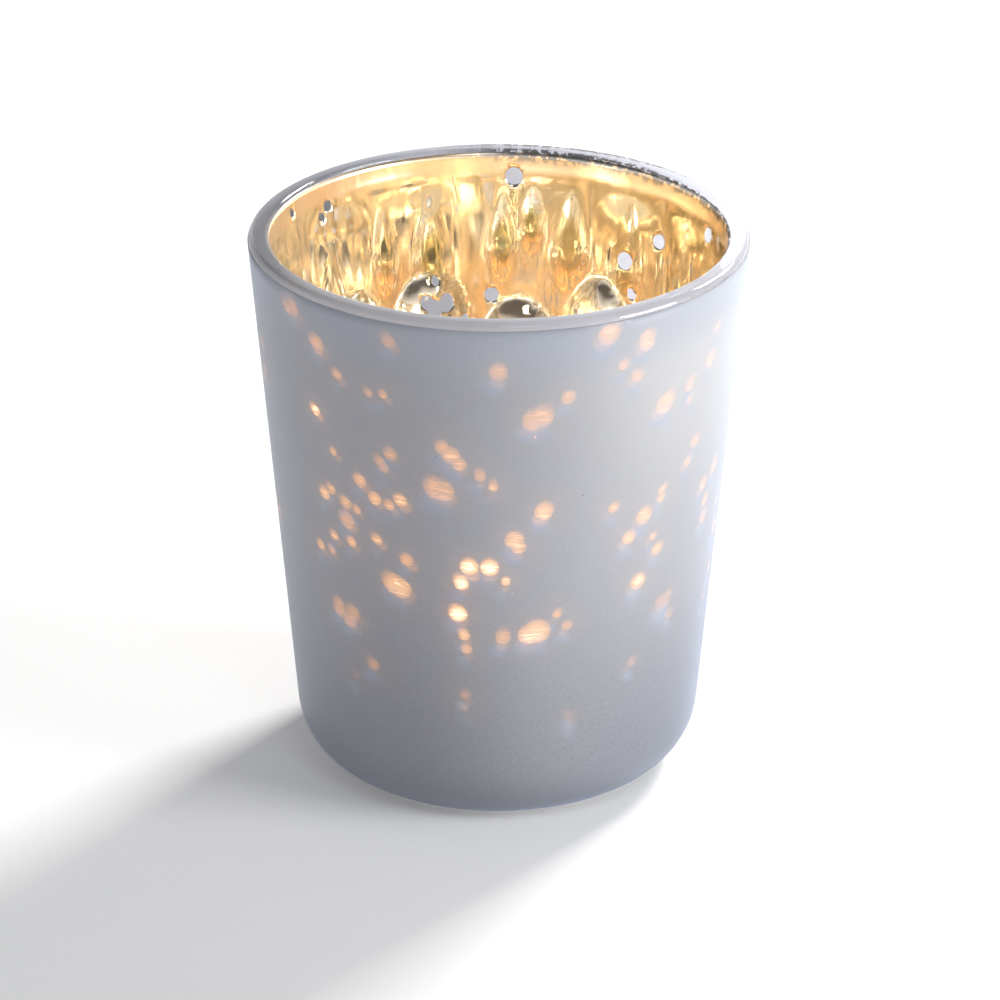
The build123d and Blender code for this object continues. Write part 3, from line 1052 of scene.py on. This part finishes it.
def cad_look(node, material):
    """Gives a CAD node its material."""
    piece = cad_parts[node]
    piece.data.materials.clear()
    piece.data.materials.append(material)


CUP_WALL = 0.3 * MM
CUP_CORNER = 1.0 * MM
BEAD_RADIUS = 0.45 * MM
FLUTES = 56
FLUTE_DEPTH = 0.26 * MM
FLUTES_RISE = (1.0 * MM, 2.2 * MM)  # above the foot, the flutes come up between these
FLUTES_FADE = (3.0 * MM, 1.6 * MM)  # under the bead, they die away between these
UNDER_BEAD = 0.6 * MM
CUP_SEGMENTS = 448
CUP_ROWS = 16


def arc(centre, radius, start, end, steps):
    """Points along part of a circle in the half section; angles in degrees."""
    angles = np.radians(np.linspace(start, end, steps))
    return [(centre[0] + radius * math.cos(a), centre[1] + radius * math.sin(a)) for a in angles]


def make_cup():
    """The pressed cup: an upright fluted wall under a rolled bead."""
    low, bead_height = CUP_LOW.z, CUP_HIGH.z - BEAD_RADIUS
    inside = CUP_HIGH.x - 2 * BEAD_RADIUS
    side = inside + CUP_WALL
    meeting = math.degrees(math.acos((CUP_WALL - BEAD_RADIUS) / BEAD_RADIUS))
    outer = [(0, low)] + arc((side - CUP_CORNER, low + CUP_CORNER), CUP_CORNER, -90, 0, 6)
    rows = np.linspace(low + CUP_CORNER, bead_height - UNDER_BEAD, CUP_ROWS)
    outer += [(side, height) for height in rows[1:]]
    bead = arc((inside + BEAD_RADIUS, bead_height), BEAD_RADIUS, -meeting, 180, 14)
    inner_corner = CUP_CORNER - CUP_WALL
    inner = arc((inside - inner_corner, low + CUP_CORNER), inner_corner, 0, -90, 5)
    section = np.array(outer + bead + inner + [(0, low + CUP_WALL)])
    heights = section[:, 1]
    rise = smooth(heights - low, *FLUTES_RISE)
    fade = smooth(heights, bead_height - FLUTES_FADE[0], bead_height - FLUTES_FADE[1])
    ribbed = (np.arange(len(section)) < len(outer)) * rise * (1 - fade)

    def flute(angle):
        return ribbed * FLUTE_DEPTH * (0.5 + 0.5 * math.cos(FLUTES * angle)) ** 0.7

    cup = lathe("tealight_cup_visual", section, aluminium_material(), "tealight",
                CUP_SEGMENTS, flute)
    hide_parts("tealight_cup")


def aluminium_material():
    metal = Nodes("cup_aluminium")
    brushed = metal.noise(1.0, 3, 0.6, metal.stretched(260, 260, 2600))
    metal.set(Base_Color=metal.mix(brushed, rgb(0.46, 0.46, 0.47), rgb(0.60, 0.60, 0.605)), Metallic=1.0)
    metal.set(Roughness=metal.span(brushed, 0.25, 0.8, 0.20, 0.36))
    metal.bump(brushed, 0.08, 0.0002)
    return metal.material


def wax_material():
    wax = Nodes("candle_wax")
    height = wax.axis("Z")
    cloud = wax.noise(220, 3)
    molten = wax.span(height, WAX_HIGH.z - 0.9 * MM, WAX_HIGH.z - 0.15 * MM, 1, 0)
    tone = wax.mix(cloud, rgb(0.62, 0.58, 0.50), rgb(0.68, 0.65, 0.58))
    wax.set(Base_Color=wax.mix(molten, tone, rgb(0.60, 0.51, 0.34)))
    wax.set(Roughness=wax.span(molten, 0, 1, 0.42, 0.05, soft=False))
    wax.set(Subsurface_Weight=0.6, Subsurface_Radius=(1.0, 0.6, 0.3), Subsurface_Scale=4 * MM)
    wax.bump(cloud, 0.06, 0.0004)
    return wax.material


def wick_material():
    wick = Nodes("wick_cotton")
    height = wick.axis("Z")
    strands = wick.add("ShaderNodeTexWave", {"Vector": wick.place, "Scale": 900.0, "Distortion": 2.0},
                       bands_direction="DIAGONAL").outputs["Fac"]
    burnt = wick.span(height, WAX_HIGH.z - 1 * MM, WAX_HIGH.z + 1.5 * MM)
    fresh = wick.mix(strands, rgb(0.72, 0.66, 0.52), rgb(0.88, 0.83, 0.70))
    wick.set(Base_Color=wick.mix(burnt, fresh, rgb(0.02, 0.017, 0.015)), Roughness=0.9)
    ember = wick.span(height, WICK_HIGH.z - 0.9 * MM, WICK_HIGH.z)
    wick.set(Emission_Color=rgb(1.0, 0.22, 0.03, 1.0))
    wick.set(Emission_Strength=wick.maths("MULTIPLY", ember, 2.5))
    wick.bump(strands, 0.5, 0.0003)
    return wick.material


def tinned_material():
    tin = Nodes("tinned_steel")
    spots = tin.noise(700, 3)
    tin.set(Base_Color=tin.mix(spots, rgb(0.60, 0.60, 0.61), rgb(0.74, 0.74, 0.74)), Metallic=1.0)
    tin.set(Roughness=tin.span(spots, 0.3, 0.7, 0.22, 0.4))
    return tin.material


# ---------------------------------------------------------------- the pieces

GAPS_ABOVE_FOOT = 5 * MM
GAPS_UNDER_RIM = 0.3 * MM

lining_mesh = welded("gold_lining")
gaps = gap_loops(lining_mesh, LINING_LOW.z + GAPS_ABOVE_FOOT, LINING_HIGH.z - GAPS_UNDER_RIM)
seam_angle = clear_angle(gaps)
make_coat(gaps, seam_angle)
make_lining(lining_mesh, gaps, seam_angle)
lining_mesh.free()
make_glass()
make_cup()
cad_look("wax", wax_material())
cad_look("wick", wick_material())
cad_look("wick_sustainer", tinned_material())
make_flame()
